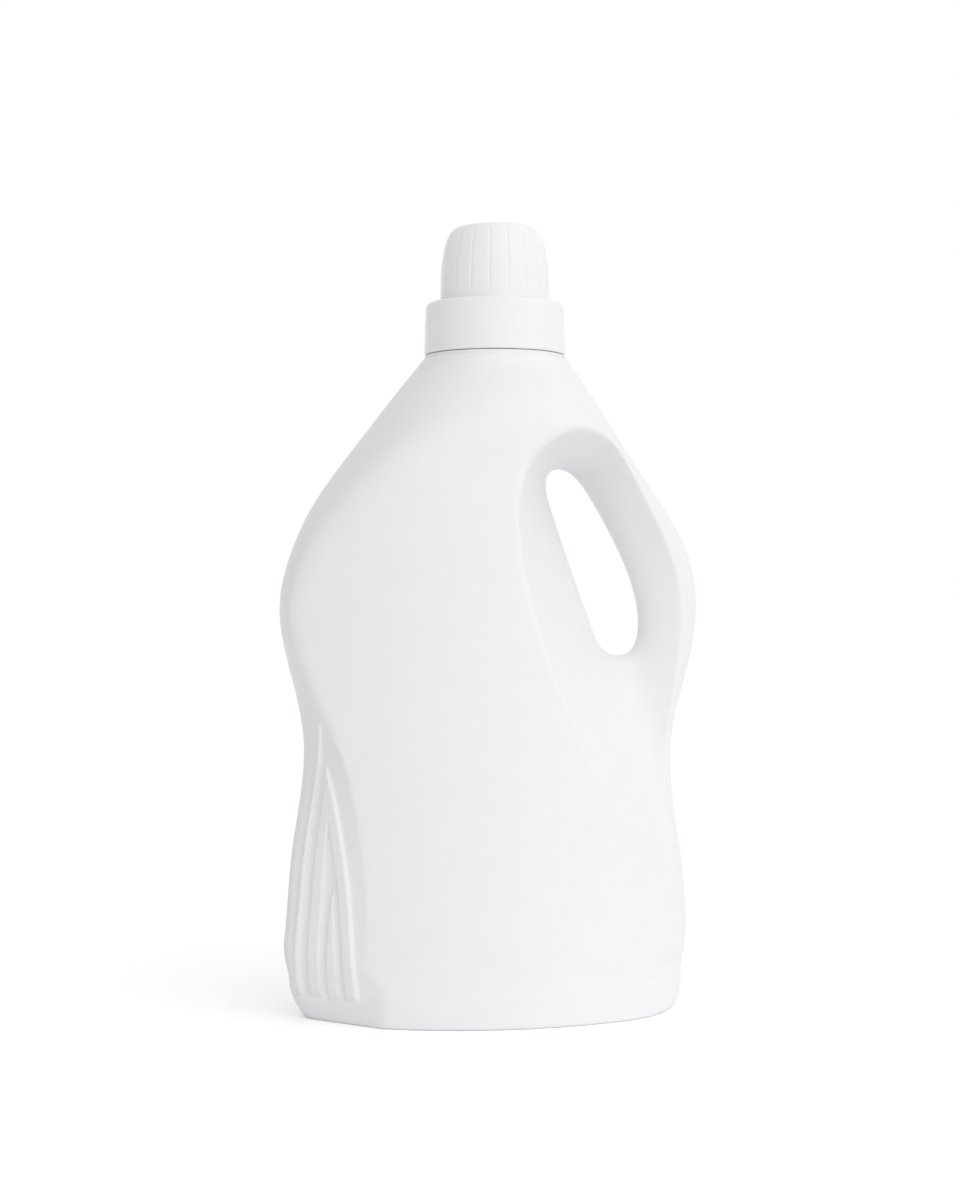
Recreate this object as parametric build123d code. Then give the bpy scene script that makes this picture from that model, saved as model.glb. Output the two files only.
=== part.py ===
from build123d import *
import os
from math import hypot

os.makedirs("parts", exist_ok=True)

# A two-litre detergent jug, in millimetres. +X is the handle end, -X the nose, -Y the front panel.

# Body
SHOULDER_Z = 255.4        # flat ledge under the cap
SHOULDER_R = 28.0         # radius of that ledge
CONE_Z = 243.0            # lower level of the round shoulder cone
CONE_R = 37.3             # its radius there
CONE_X = 0.3              # its middle there
NECK_X = 1.0              # the neck axis stands a little towards the handle
PANEL_DEPTH = 45.0        # half depth of the bowed front and back panels
PANEL_BOW = 115.0         # radius of their bow at the crown
PANEL_CROWN_X = 4.5       # where the bow is deepest
WIDEST_Z = 157.0
WIDEST_HALF = 83.9        # half width of the body at the handle's bulge
WAIST_Z = 104.0
WAIST_NOSE = 74.8         # nose of the waist, from the middle
WAIST_BACK = 72.8         # back of the waist, from the middle
HIP_Z = 35.0
HIP_NOSE = 82.2
HIP_BACK = 78.2
WALL = 1.4                # blown wall

# Base
BAND_TOP_Z = 13.0         # plinth band under the label panel
BAND_PROUD = 0.6
BEVEL_TOP_Z = 20.0        # the nose flank stands out over the band with a bevel
HEEL_TURN_Z = 5.5         # the base draws in at both ends below this level
PUSH_UP = 3.0             # hollow under the base
STANDING_RIM = 6.0
PUSH_UP_LEAN = 1.5        # how far its sides lean in

# Ribs on the nose flanks: pointed leaves, one inside the other, raised over the flank.
# Each leaf is its tip along the flank and up, then where its left and right sides stand.
RIB_RISE = 1.6
RIB_FOOT_Z = 9.0
RIB_FOOT_RISE = 0.5
RIB_BEND = 0.55           # the sides start to lean in above this share of a leaf's height
LEAF_EDGE = (-38.9, 109.5, -49.2, -20.0)
LEAF_OUTER = (-37.3, 98.0, -45.7, -24.1)
LEAF_MIDDLE = (-36.3, 75.0, -39.8, -29.5)
LEAF_INNER = (-34.1, 51.0, -37.3, -31.8)
EDGE_RIB = 2.6            # width of the single rib along the nose side

# Neck and pouring insert
NECK_R = 22.6
NECK_BORE_R = 20.4
NECK_TOP_Z = 272.6
SEAT_R = 26.9             # low step on the ledge, close under the cap's skirt
SEAT_RISE = 1.1
SPOUT_WALL = 1.5
SPOUT_FIT = 0.1           # round the insert's sleeve in the neck
SPOUT_TUBE_R = 12.0
SPOUT_FLOOR_Z = 258.0     # underside of the drip trough
SPOUT_LIP_Z = 292.0       # top of the slanted lip, at the nose side
SPOUT_BACK_Z = 277.0
DRAIN_HALF = 3.0
DRAIN_HEIGHT = 6.0

# Cap and its gasket
SEAL_THICK = 1.2
SEAL_GAP = 0.3            # over and under the gasket
SEAL_INNER_R = 20.4
SEAL_SIDE_GAP = 0.5
SKIRT_R = 27.8
SKIRT_TOP_R = 27.3
SKIRT_BORE_R = 25.0
SKIRT_BOTTOM_Z = 257.0
SKIRT_TOP_Z = 277.4
SKIRT_ROUND = 2.2
CUP_R = 21.5
CUP_WAIST = (21.2, 19.0)  # radius where the cup starts to round in, and how far that is below its top
CUP_CHEEK = (20.4, 12.7)
CUP_BROW = (18.9, 6.4)
CUP_CROWN = (15.2, 1.3)
CAP_TOP_Z = 309.0
CUP_FILLET = 1.0
CAP_WALL = 1.6
FLUTES = 18
FLUTE_DEPTH = 0.4
FLUTE_WIDTH = 0.8
FLUTE_BOTTOM_Z = 279.5
FLUTE_TOP_DROP = 2.0      # the flutes end this far below the cap's top


def grown(corners, outward):
    """Move every side of a closed polygon outwards and return the new corners."""
    count = len(corners)
    area = sum(
        corners[i][0] * corners[(i + 1) % count][1] - corners[(i + 1) % count][0] * corners[i][1]
        for i in range(count)
    )
    turn = 1 if area > 0 else -1
    sides = []
    for i in range(count):
        (x0, y0), (x1, y1) = corners[i], corners[(i + 1) % count]
        length = hypot(x1 - x0, y1 - y0)
        normal = (turn * (y1 - y0) / length, -turn * (x1 - x0) / length)
        sides.append((normal, normal[0] * x0 + normal[1] * y0 + outward))
    moved = []
    for i in range(count):
        (a, b), c = sides[i - 1]
        (d, e), f = sides[i]
        det = a * e - b * d
        if abs(det) < 1e-6:
            moved.append((corners[i][0] + a * outward, corners[i][1] + b * outward))
        else:
            moved.append(((c * e - b * f) / det, (a * f - c * d) / det))
    return moved


def soft_loop(corners, joints, place):
    """Closed wire of parabolas tangent to a polygon's sides, with straight runs where a side keeps one."""
    def along(i, share):
        (x0, y0), (x1, y1) = corners[i], corners[(i + 1) % len(corners)]
        return place(x0 + share * (x1 - x0), y0 + share * (y1 - y0))

    edges = []
    for i in range(len(corners)):
        start, end = along(i - 1, joints[i - 1][1]), along(i, joints[i][0])
        edges.append(Edge.make_bezier(start, place(*corners[i]), end))
        if joints[i][1] > joints[i][0]:
            edges.append(Edge.make_line(end, along(i, joints[i][1])))
    return Wire(edges)


class Section:
    """One level of the body: two bowed panels, two nose flanks and a rounded back."""

    def __init__(self, z, nose, nose_half, crease, crease_soft, back, back_half, edge, edge_soft,
                 depth=PANEL_DEPTH, bow=PANEL_BOW, crown=PANEL_CROWN_X):
        def panel(x):
            return depth - (x - crown) ** 2 / (2 * bow)

        def corner(end, half, x, touch):
            """Where the side line from the end meets the panel's tangent at the touching point."""
            side = (panel(x) - half) / (x - end)
            tangent = -(touch - crown) / bow
            meet = (panel(touch) - tangent * touch - half + side * end) / (side - tangent)
            return meet, half + side * (meet - end)

        left, right = crease + crease_soft, edge - edge_soft
        c1 = corner(nose, nose_half, crease, left)
        c2 = corner(back, back_half, edge, right)
        middle = ((left + right) / 2, depth - (left - crown) * (right - crown) / (2 * bow))
        half_loop = [(nose, nose_half), c1, middle, c2, (back, back_half)]
        self.z = z
        self.corners = [(x, -y) for x, y in half_loop] + half_loop[::-1]

        def share(end, c, half, touch):
            run = hypot(c[0] - end, c[1] - half)
            soft = hypot(c[0] - touch, c[1] - panel(touch))
            return min(half / run, 0.47), 1 - min(soft / run, 0.5)

        a, b = share(nose, c1, nose_half, left)
        c, d = share(back, c2, back_half, right)
        p = (left - c1[0]) / (middle[0] - c1[0])
        q = (right - middle[0]) / (c2[0] - middle[0])
        self.joints = [(a, b), (p, p), (q, q), (1 - d, 1 - c), (0.5, 0.5),
                       (c, d), (1 - q, 1 - q), (1 - p, 1 - p), (1 - b, 1 - a), (0.5, 0.5)]

    def wire(self, inset=0.0, z=None):
        level = self.z if z is None else z
        return soft_loop(grown(self.corners, -inset), self.joints, lambda x, y: Vector(x, y, level))


def round_section(z, x, radius):
    """A level of the shoulder cone, with the same edges as the levels below it."""
    return Section(z, x - radius, 0.325 * radius, x - 0.6894 * radius, 0.38 * radius,
                   x + radius, 0.325 * radius, x + 0.6894 * radius, 0.38 * radius,
                   depth=1.0013 * radius, bow=0.955 * radius, crown=x)


BAND_DEPTH = PANEL_DEPTH + BAND_PROUD
FOOT = Section(0, -74.5, 4, -50.3, 2, 74.4, 7, 58, 16, depth=BAND_DEPTH)
HEEL = Section(HEEL_TURN_Z, -78.2, 4, -50.3, 2, 75.9, 8.5, 62, 19, depth=BAND_DEPTH)
BAND = Section(BAND_TOP_Z, -80.9, 4, -50.3, 2, 76.4, 9, 65, 22, depth=BAND_DEPTH)
LEVELS = [
    Section(BEVEL_TOP_Z, -HIP_NOSE + 0.2, 3.5, -55.5, 2, HIP_BACK - 1.5, 9, 67, 22),
    Section(HIP_Z, -HIP_NOSE, 3.5, -56.4, 2, HIP_BACK, 9, 68, 20),
    Section(62, -79.9, 3.5, -57.4, 2, 76.3, 9, 61, 12),
    Section(83, -76.6, 4, -60.2, 2, 73.3, 8.5, 53, 9),
    Section(WAIST_Z, -WAIST_NOSE, 5, -65.6, 2.5, WAIST_BACK, 8, 50, 9),
    Section(118, -76.3, 7, -71.6, 3, 75.3, 7, 53, 9),
    Section(132, -79.2, 9, -77.0, 3.5, 79.6, 6, 56, 9),
    Section(WIDEST_Z, -WIDEST_HALF, 9, -80.5, 4, WIDEST_HALF, 5.5, 57, 9),
    Section(178, -79.8, 9, -76, 9, 80.6, 6, 55, 9),
    Section(198, -70.6, 11, -63, 14, 69.2, 8, 48, 11),
    Section(216, -57.8, 13, -48, 16, 55.2, 11, 41, 14),
    Section(231, -46.2, 14.5, -34, 15, 44.4, 14.5, 32, 14, depth=44.6, bow=62, crown=2),
    round_section(CONE_Z, CONE_X, CONE_R),
    round_section(SHOULDER_Z, NECK_X, SHOULDER_R),
]

# Hand hole: a slanted slot in the parting plane whose sides flare out to both faces.
# Corners run from the top left round by the handle to the bottom and up the body side.
HOLE_THROAT = [
    (18.0, 211.5), (34, 214), (48, 190), (58.2, 168), (61.5, 150), (57, 138.5), (44, 139.5), (30.5, 175.5)
]
HOLE_FACE = [
    (2, 219), (34, 232), (62, 214), (108, 180), (118, 148), (110, -128), (72, 0), (-12, 166)
]
HOLE_JOINTS = [(0.5, 0.5)] * 6 + [(0.3, 0.3), (0.7, 0.7)]
HOLE_FACE_Y = 48.0        # depth at which the flare has its face outline
THROAT_SOFT = 12.0        # the flare's lip is rounded this far to each side of the parting plane


def hand_hole(outward):
    """The cutter for the hand hole and the scoops that lead into it from both faces."""
    def outline(y):
        share = 0 if y == 0 else (abs(y) - THROAT_SOFT / 2) / (HOLE_FACE_Y - THROAT_SOFT / 2)
        corners = [
            (tx + share * (fx - tx), tz + share * (fz - tz))
            for (tx, tz), (fx, fz) in zip(HOLE_THROAT, HOLE_FACE)
        ]
        return soft_loop(grown(corners, outward), HOLE_JOINTS, lambda x, z: Vector(x, y, z))

    lip = Solid.make_loft([outline(-THROAT_SOFT), outline(0), outline(THROAT_SOFT)])
    front = Solid.make_loft([outline(-HOLE_FACE_Y), outline(-THROAT_SOFT)], ruled=True)
    back = Solid.make_loft([outline(THROAT_SOFT), outline(HOLE_FACE_Y)], ruled=True)
    return lip + front + back


def body_solid(inset):
    """The jug above its band and below its neck, as a solid that is smaller by the inset all round."""
    upper = Solid.make_loft([level.wire(inset) for level in LEVELS])
    bevel = Solid.make_loft([BAND.wire(BAND_PROUD + inset), LEVELS[0].wire(inset)], ruled=True)
    return upper + bevel - hand_hole(1.3 * inset)


def band_solid():
    """The plinth band, drawn in towards the foot at the nose and at the back."""
    return Solid.make_loft([FOOT.wire(), HEEL.wire(), BAND.wire()])


def leaf(tip, tip_z, left, right, grow=0.0):
    """A pointed leaf on the flank, drawn along it and up."""
    top = tip_z + 2 * grow
    bend = RIB_FOOT_Z + RIB_BEND * (top - RIB_FOOT_Z)
    foot_left, foot_right = (left - grow, RIB_FOOT_Z), (right + grow, RIB_FOOT_Z)
    sides = [
        Edge.make_line(foot_right, foot_left),
        Edge.make_bezier(foot_left, (left - grow, bend), (tip, top)),
        Edge.make_bezier((tip, top), (right + grow, bend), foot_right),
    ]
    return Sketch() + make_face(sides)


def flank_ribs():
    """The raised leaves of the front nose flank."""
    edge_rib = leaf(*LEAF_EDGE, grow=EDGE_RIB) - leaf(*LEAF_EDGE)
    nose_side = Pos(LEAF_EDGE[2] - 5, 60) * Rectangle(2 * (LEAF_EDGE[0] - LEAF_EDGE[2] + 5), 200)
    pattern = (edge_rib & nose_side) + (leaf(*LEAF_OUTER) - leaf(*LEAF_MIDDLE)) + leaf(*LEAF_INNER)
    across = Plane(origin=(0, 0, 0), x_dir=(1, -1, 0), z_dir=(-1, -1, 0))
    prism = extrude(across * pattern, 80)
    low_levels = [level.wire(-RIB_RISE) for level in LEVELS if level.z < WIDEST_Z]
    layer = Solid.make_loft(low_levels)
    layer += Solid.make_loft([HEEL.wire(-RIB_FOOT_RISE), low_levels[0]], ruled=True)
    return prism & layer


def ring(outer_r, inner_r, low, high):
    return Pos(NECK_X, 0, low) * (
        Cylinder(outer_r, high - low, align=(Align.CENTER, Align.CENTER, Align.MIN))
        - Cylinder(inner_r, high - low, align=(Align.CENTER, Align.CENTER, Align.MIN))
    )


def disc(radius, low, high):
    return Pos(NECK_X, 0, low) * Cylinder(radius, high - low, align=(Align.CENTER, Align.CENTER, Align.MIN))


# Bottle: one blown shell
ribs = flank_ribs()
hollow_low = PUSH_UP + WALL
hollow = body_solid(WALL) - disc(2 * SHOULDER_R, SHOULDER_Z - WALL, SHOULDER_Z + WALL)
hollow += Solid.make_loft([FOOT.wire(BAND_PROUD + WALL, hollow_low), BAND.wire(BAND_PROUD + WALL)], ruled=True)
bottle = body_solid(0) + band_solid() + ribs + mirror(ribs, about=Plane.XZ)
bottle += disc(NECK_R, SHOULDER_Z - WALL, NECK_TOP_Z)
bottle += disc(SEAT_R, SHOULDER_Z - WALL, SHOULDER_Z + SEAT_RISE)
bottle -= Solid.make_loft(
    [FOOT.wire(STANDING_RIM), FOOT.wire(STANDING_RIM + PUSH_UP_LEAN, PUSH_UP)], ruled=True
)
bottle -= hollow
bottle -= disc(NECK_BORE_R, SHOULDER_Z - 3 * WALL, NECK_TOP_Z)

# Pouring insert: sleeve and flange in the neck, drip trough, slanted tube and drain
flange_top = NECK_TOP_Z + SPOUT_WALL
sleeve_r = NECK_BORE_R - SPOUT_FIT
spout = ring(sleeve_r, sleeve_r - SPOUT_WALL, SPOUT_FLOOR_Z, flange_top)
spout += ring(NECK_R, sleeve_r - SPOUT_WALL, NECK_TOP_Z, flange_top)
spout += ring(sleeve_r, SPOUT_TUBE_R - SPOUT_WALL, SPOUT_FLOOR_Z, SPOUT_FLOOR_Z + SPOUT_WALL)
tube = ring(SPOUT_TUBE_R, SPOUT_TUBE_R - SPOUT_WALL, SPOUT_FLOOR_Z, SPOUT_LIP_Z)
tube_left, tube_right = NECK_X - SPOUT_TUBE_R, NECK_X + SPOUT_TUBE_R
over_lip = Plane.XZ * make_face(
    Polyline((tube_left, SPOUT_LIP_Z), (tube_right, SPOUT_BACK_Z), (tube_right, SPOUT_LIP_Z), close=True)
)
spout += tube - extrude(over_lip, 2 * SPOUT_TUBE_R, both=True)
spout -= Pos(tube_right, 0, SPOUT_FLOOR_Z) * Box(
    2 * (sleeve_r - SPOUT_WALL - SPOUT_TUBE_R), 2 * DRAIN_HALF, 2 * DRAIN_HEIGHT
)

# Cap: a dosing cup over a skirt, in one piece
web_low = flange_top + 2 * SEAL_GAP + SEAL_THICK
cup_points = [CUP_WAIST, CUP_CHEEK, CUP_BROW, CUP_CROWN]


def cup_line(inset, foot_z):
    """The cup's profile from its foot to its middle, moved inwards by the inset."""
    ring_points = [(r - inset, CAP_TOP_Z - drop - inset * (1 - drop / CUP_WAIST[1])) for r, drop in cup_points]
    return Spline((CUP_R - inset, foot_z), *ring_points, (0, CAP_TOP_Z - inset), tangents=[(0, 1), (-1, 0)])


def turned(profile):
    return Pos(NECK_X, 0, 0) * revolve(Plane.XZ * profile, Axis.Z)


cup_foot = SKIRT_TOP_Z + CUP_FILLET
outer_cup = cup_line(0, cup_foot)
inner_cup = cup_line(CAP_WALL, cup_foot)
shoulder = ThreePointArc(
    (SKIRT_TOP_R, SKIRT_TOP_Z - SKIRT_ROUND),
    (SKIRT_TOP_R - 0.3 * SKIRT_ROUND, SKIRT_TOP_Z - 0.3 * SKIRT_ROUND),
    (SKIRT_TOP_R - SKIRT_ROUND, SKIRT_TOP_Z),
)
cove = ThreePointArc(
    (CUP_R + CUP_FILLET, SKIRT_TOP_Z),
    (CUP_R + 0.3 * CUP_FILLET, SKIRT_TOP_Z + 0.3 * CUP_FILLET),
    (CUP_R, cup_foot),
)
cap_profile = make_face([
    Line((SKIRT_BORE_R, SKIRT_BOTTOM_Z), (SKIRT_R, SKIRT_BOTTOM_Z)),
    Line((SKIRT_R, SKIRT_BOTTOM_Z), shoulder @ 0),
    shoulder,
    Line(shoulder @ 1, cove @ 0),
    cove,
    outer_cup,
    Line(outer_cup @ 1, inner_cup @ 1),
    inner_cup,
    Polyline(
        inner_cup @ 0, (CUP_R - CAP_WALL, web_low), (SKIRT_BORE_R, web_low), (SKIRT_BORE_R, SKIRT_BOTTOM_Z)
    ),
])
cap = turned(cap_profile)
under_cup = cup_line(FLUTE_DEPTH, cup_foot)
flute_layer = turned(make_face([
    outer_cup,
    Line(outer_cup @ 1, under_cup @ 1),
    under_cup,
    Line(under_cup @ 0, outer_cup @ 0),
]))
flute_height = CAP_TOP_Z - FLUTE_TOP_DROP - FLUTE_BOTTOM_Z
blade = Pos(CUP_R, 0, FLUTE_BOTTOM_Z) * Box(
    0.8 * CUP_R, FLUTE_WIDTH, flute_height, align=(Align.CENTER, Align.CENTER, Align.MIN)
)
blades = Pos(NECK_X, 0, 0) * PolarLocations(0, FLUTES) * blade
cap -= [flute_layer & one for one in blades]

# Gasket: a flat ring under the cap's web
seal_low = flange_top + SEAL_GAP
seal = ring(SKIRT_BORE_R - SEAL_SIDE_GAP, SEAL_INNER_R, seal_low, seal_low + SEAL_THICK)

for name, piece in (("bottle", bottle), ("pour_spout", spout), ("cap_seal", seal), ("dosing_cap", cap)):
    solids = piece.solids()
    print(name, len(solids), round(sum(one.volume for one in solids)), piece.is_valid, piece.bounding_box())
    export_step(piece, f"parts/{name}.step")
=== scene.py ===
# %% [markdown]
# # A blank white detergent jug
# The jug is a hollow blown shell with a slanted hand hole, ribs on its nose flanks, a pouring insert in
# its neck and a fluted dosing cap that screws on. The measured solids come in as a fixed frame, and this
# lesson gives them their soft plastic edges, their flutes and threads, and their finishes.

# %% Load the measured solids
import math

import bmesh
import bpy
import numpy as np
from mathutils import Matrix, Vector


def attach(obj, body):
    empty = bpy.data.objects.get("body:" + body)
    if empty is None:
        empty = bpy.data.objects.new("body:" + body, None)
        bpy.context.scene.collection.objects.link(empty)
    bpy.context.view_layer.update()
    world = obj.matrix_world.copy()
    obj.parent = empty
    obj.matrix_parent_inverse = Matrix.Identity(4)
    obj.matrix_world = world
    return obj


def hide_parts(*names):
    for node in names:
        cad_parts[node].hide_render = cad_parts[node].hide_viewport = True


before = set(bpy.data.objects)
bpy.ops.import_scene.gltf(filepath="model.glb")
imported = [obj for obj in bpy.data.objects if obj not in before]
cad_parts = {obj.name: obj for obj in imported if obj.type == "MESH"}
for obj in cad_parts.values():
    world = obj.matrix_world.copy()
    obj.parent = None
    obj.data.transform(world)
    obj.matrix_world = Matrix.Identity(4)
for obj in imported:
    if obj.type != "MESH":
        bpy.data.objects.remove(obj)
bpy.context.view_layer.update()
scene = bpy.context.scene
MM = 0.001
NEAR = 2e-6
NECK_X = 1.0 * MM


# %% [markdown]
# ## Helpers for meshes
# A measured node is a heap of loose triangles. A copy has to be merged before it can be smoothed, and a
# piece made with modifiers has to end as a plain mesh at the origin, so two small helpers do just that.

# %% Mesh helpers
def new_piece(name, mesh):
    """A scene object at the origin for a mesh."""
    piece = bpy.data.objects.new(name, mesh)
    scene.collection.objects.link(piece)
    return piece


def merged_copy(node):
    """A copy of a node's triangles with shared corners."""
    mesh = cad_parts[node].data.copy()
    bm = bmesh.new()
    bm.from_mesh(mesh)
    bmesh.ops.remove_doubles(bm, verts=bm.verts, dist=NEAR)
    bm.to_mesh(mesh)
    bm.free()
    return mesh


def settled(piece):
    """Turn a piece with modifiers into one with a plain mesh."""
    bpy.context.view_layer.update()
    graph = bpy.context.evaluated_depsgraph_get()
    mesh = bpy.data.meshes.new_from_object(piece.evaluated_get(graph))
    piece.modifiers.clear()
    piece.data = mesh
    return piece


def count_triangles(piece):
    return sum(len(face.vertices) - 2 for face in piece.data.polygons)


print("helpers ready")


# %% [markdown]
# ## Shared plastic effects
# Moulded plastic is never perfectly even. Its skin has a very fine grain from the blasted mould, a slow
# waviness from shrinking as it cools, and a thin line where the mould halves met. Grain and waviness are
# noise at two scales; the line is a mask on the distance from the middle plane. Each is a node group, so
# that bottle, insert and cap can use it with their own values.

# %% Node group helpers
def wire(tree, source, target):
    tree.links.new(source, target)


def add_node(tree, kind, place, **values):
    node = tree.nodes.new(kind)
    node.location = place
    for key, value in values.items():
        setattr(node, key, value)
    return node


def new_group(name, inputs, outputs):
    """An empty shader group with float inputs (name, default) and outputs (name, kind)."""
    group = bpy.data.node_groups.new(name, "ShaderNodeTree")
    for label, default in inputs:
        socket = group.interface.new_socket(label, in_out="INPUT", socket_type="NodeSocketFloat")
        socket.default_value = default
    for label, kind in outputs:
        group.interface.new_socket(label, in_out="OUTPUT", socket_type=kind)
    return group, add_node(group, "NodeGroupInput", (-900, 0)), add_node(group, "NodeGroupOutput", (600, 0))


print("group helpers ready")


# %% The moulded skin group
def build_moulded_skin():
    """Height and tone of a moulded plastic skin: fine grain over slow waves."""
    group, given, out = new_group(
        "moulded_skin",
        [("Grain per metre", 2600.0), ("Waves per metre", 90.0), ("Grain share", 0.25)],
        [("Height", "NodeSocketFloat"), ("Tone", "NodeSocketFloat")],
    )
    place = add_node(group, "ShaderNodeTexCoord", (-900, -260))
    grain = add_node(group, "ShaderNodeTexNoise", (-600, 200))
    grain.inputs["Detail"].default_value = 3.0
    waves = add_node(group, "ShaderNodeTexNoise", (-600, -160))
    waves.inputs["Detail"].default_value = 2.0
    wire(group, place.outputs["Object"], grain.inputs["Vector"])
    wire(group, place.outputs["Object"], waves.inputs["Vector"])
    wire(group, given.outputs["Grain per metre"], grain.inputs["Scale"])
    wire(group, given.outputs["Waves per metre"], waves.inputs["Scale"])
    both = add_node(group, "ShaderNodeMix", (-200, 100))
    wire(group, given.outputs["Grain share"], both.inputs["Factor"])
    wire(group, waves.outputs["Fac"], both.inputs["A"])
    wire(group, grain.outputs["Fac"], both.inputs["B"])
    wire(group, both.outputs["Result"], out.inputs["Height"])
    wire(group, waves.outputs["Fac"], out.inputs["Tone"])
    return group


moulded_skin = build_moulded_skin()
print("group", moulded_skin.name, "with", len(moulded_skin.nodes), "nodes")


# %% The parting line group
def build_parting_line():
    """A mask that is 1 on the middle plane of the mould and 0 away from it."""
    group, given, out = new_group(
        "parting_line", [("Half width", 0.00035)], [("Line", "NodeSocketFloat")]
    )
    place = add_node(group, "ShaderNodeTexCoord", (-900, -200))
    split = add_node(group, "ShaderNodeSeparateXYZ", (-700, -200))
    away = add_node(group, "ShaderNodeMath", (-500, -200), operation="ABSOLUTE")
    fall = add_node(group, "ShaderNodeMapRange", (-200, 0), interpolation_type="SMOOTHSTEP")
    fall.inputs["From Min"].default_value = 0.0
    fall.inputs["To Min"].default_value = 1.0
    fall.inputs["To Max"].default_value = 0.0
    wire(group, place.outputs["Object"], split.inputs["Vector"])
    wire(group, split.outputs["Y"], away.inputs[0])
    wire(group, away.outputs["Value"], fall.inputs["Value"])
    wire(group, given.outputs["Half width"], fall.inputs["From Max"])
    wire(group, fall.outputs["Result"], out.inputs["Line"])
    return group


parting_line = build_parting_line()
print("group", parting_line.name, "with", len(parting_line.nodes), "nodes")


# %% [markdown]
# ## Finishes
# The bottle is satin polyethylene: white, a little soft in its highlights. The cap is polypropylene from a
# polished mould, so it is glossier. The insert is thinner and greyer, and the gasket is matt foam. One
# function builds all four from the shared groups, with the numbers that differ passed in.

# %% Plastic finishes
def plastic(name, light, dark, roughness, gloss, grain, waves, bump, seam=0.0):
    """A moulded plastic. Tones run from dark to light; roughness is its middle value."""
    finish = bpy.data.materials.new(name)
    finish.use_nodes = True
    tree = finish.node_tree
    tree.nodes.clear()
    out = add_node(tree, "ShaderNodeOutputMaterial", (700, 0))
    shader = add_node(tree, "ShaderNodeBsdfPrincipled", (400, 0))
    shader.inputs["IOR"].default_value = 1.5
    shader.inputs["Specular IOR Level"].default_value = 0.5
    shader.inputs["Coat Weight"].default_value = gloss
    shader.inputs["Coat Roughness"].default_value = 0.12
    skin = add_node(tree, "ShaderNodeGroup", (-500, 0), node_tree=moulded_skin)
    skin.inputs["Grain per metre"].default_value = grain
    skin.inputs["Waves per metre"].default_value = waves
    tone = add_node(tree, "ShaderNodeMix", (-100, 220), data_type="RGBA")
    tone.inputs["A"].default_value = (*dark, 1)
    tone.inputs["B"].default_value = (*light, 1)
    wire(tree, skin.outputs["Tone"], tone.inputs["Factor"])
    wire(tree, tone.outputs["Result"], shader.inputs["Base Color"])
    rough = add_node(tree, "ShaderNodeMapRange", (-100, -40))
    rough.inputs["To Min"].default_value = roughness - 0.06
    rough.inputs["To Max"].default_value = roughness + 0.06
    wire(tree, skin.outputs["Height"], rough.inputs["Value"])
    wire(tree, rough.outputs["Result"], shader.inputs["Roughness"])
    relief = add_node(tree, "ShaderNodeBump", (150, -280))
    relief.inputs["Strength"].default_value = bump
    relief.inputs["Distance"].default_value = 0.0001
    height = skin.outputs["Height"]
    if seam:
        line = add_node(tree, "ShaderNodeGroup", (-500, -320), node_tree=parting_line)
        total = add_node(tree, "ShaderNodeMath", (-100, -320), operation="MULTIPLY_ADD")
        total.inputs[1].default_value = seam
        wire(tree, line.outputs["Line"], total.inputs[0])
        wire(tree, height, total.inputs[2])
        height = total.outputs["Value"]
    wire(tree, height, relief.inputs["Height"])
    wire(tree, relief.outputs["Normal"], shader.inputs["Normal"])
    wire(tree, shader.outputs["BSDF"], out.inputs["Surface"])
    return finish


satin_bottle = plastic(
    "satin_bottle", (0.865, 0.875, 0.882), (0.84, 0.85, 0.857),
    roughness=0.40, gloss=0.0, grain=2600, waves=90, bump=0.15, seam=0.6)
glossy_cap = plastic(
    "glossy_cap", (0.87, 0.88, 0.886), (0.85, 0.86, 0.866),
    roughness=0.24, gloss=0.25, grain=3600, waves=120, bump=0.15)
satin_insert = plastic(
    "satin_insert", (0.80, 0.80, 0.79), (0.76, 0.76, 0.75),
    roughness=0.35, gloss=0.0, grain=3000, waves=150, bump=0.2)
foam_gasket = plastic(
    "foam_gasket", (0.72, 0.72, 0.70), (0.62, 0.62, 0.60),
    roughness=0.8, gloss=0.0, grain=5200, waves=900, bump=0.9)
print("finishes:", [m.name for m in (satin_bottle, glossy_cap, satin_insert, foam_gasket)])


# %% [markdown]
# ## The bottle's skin
# A blown bottle has no sharp edge: the parison stretches over every corner of the mould and rounds it. The
# solids have crisp edges, so the outer skin is taken from them, remeshed to an even net and relaxed.
# Relaxing moves every point towards the middle of its neighbours, which rounds a crease the more often it
# is done. Each point has its own share of that move: the ribs and the plinth band are small and keep nearly
# all their shape, the grip's creases are rounded by a few millimetres, the top of the scoop melts into the
# shoulder, and the nose runs smoothly into its foot.

# %% Split the skin from the inside
NECK_TOP = 272.6 * MM


def on_rim(face):
    """Whether a face lies on the neck's top."""
    return all(v.co.z > NECK_TOP - NEAR for v in face.verts)


def split_shell(mesh):
    """The outside with its neck closed, and the rest: the neck's rim and the inside walls."""
    bm = bmesh.new()
    bm.from_mesh(mesh)
    rim = [face for face in bm.faces if on_rim(face)]
    inside = bm.copy()
    bmesh.ops.delete(bm, geom=rim, context="FACES")
    bm.verts.ensure_lookup_table()
    start = min(bm.verts, key=lambda v: v.co.z)
    found, queue = {start}, [start]
    while queue:
        for edge in queue.pop().link_edges:
            for v in edge.verts:
                if v not in found:
                    found.add(v)
                    queue.append(v)
    kept = {v.index for v in found}
    bmesh.ops.delete(bm, geom=[v for v in bm.verts if v not in found], context="VERTS")
    bmesh.ops.holes_fill(bm, edges=[e for e in bm.edges if e.is_boundary], sides=0)
    inside.verts.ensure_lookup_table()
    skin_faces = [f for f in inside.faces if all(v.index in kept for v in f.verts) and not on_rim(f)]
    bmesh.ops.delete(inside, geom=skin_faces, context="FACES")
    return bm, inside


outside, inside = split_shell(merged_copy("bottle"))
print("outside faces:", len(outside.faces), "inside faces:", len(inside.faces))

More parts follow.
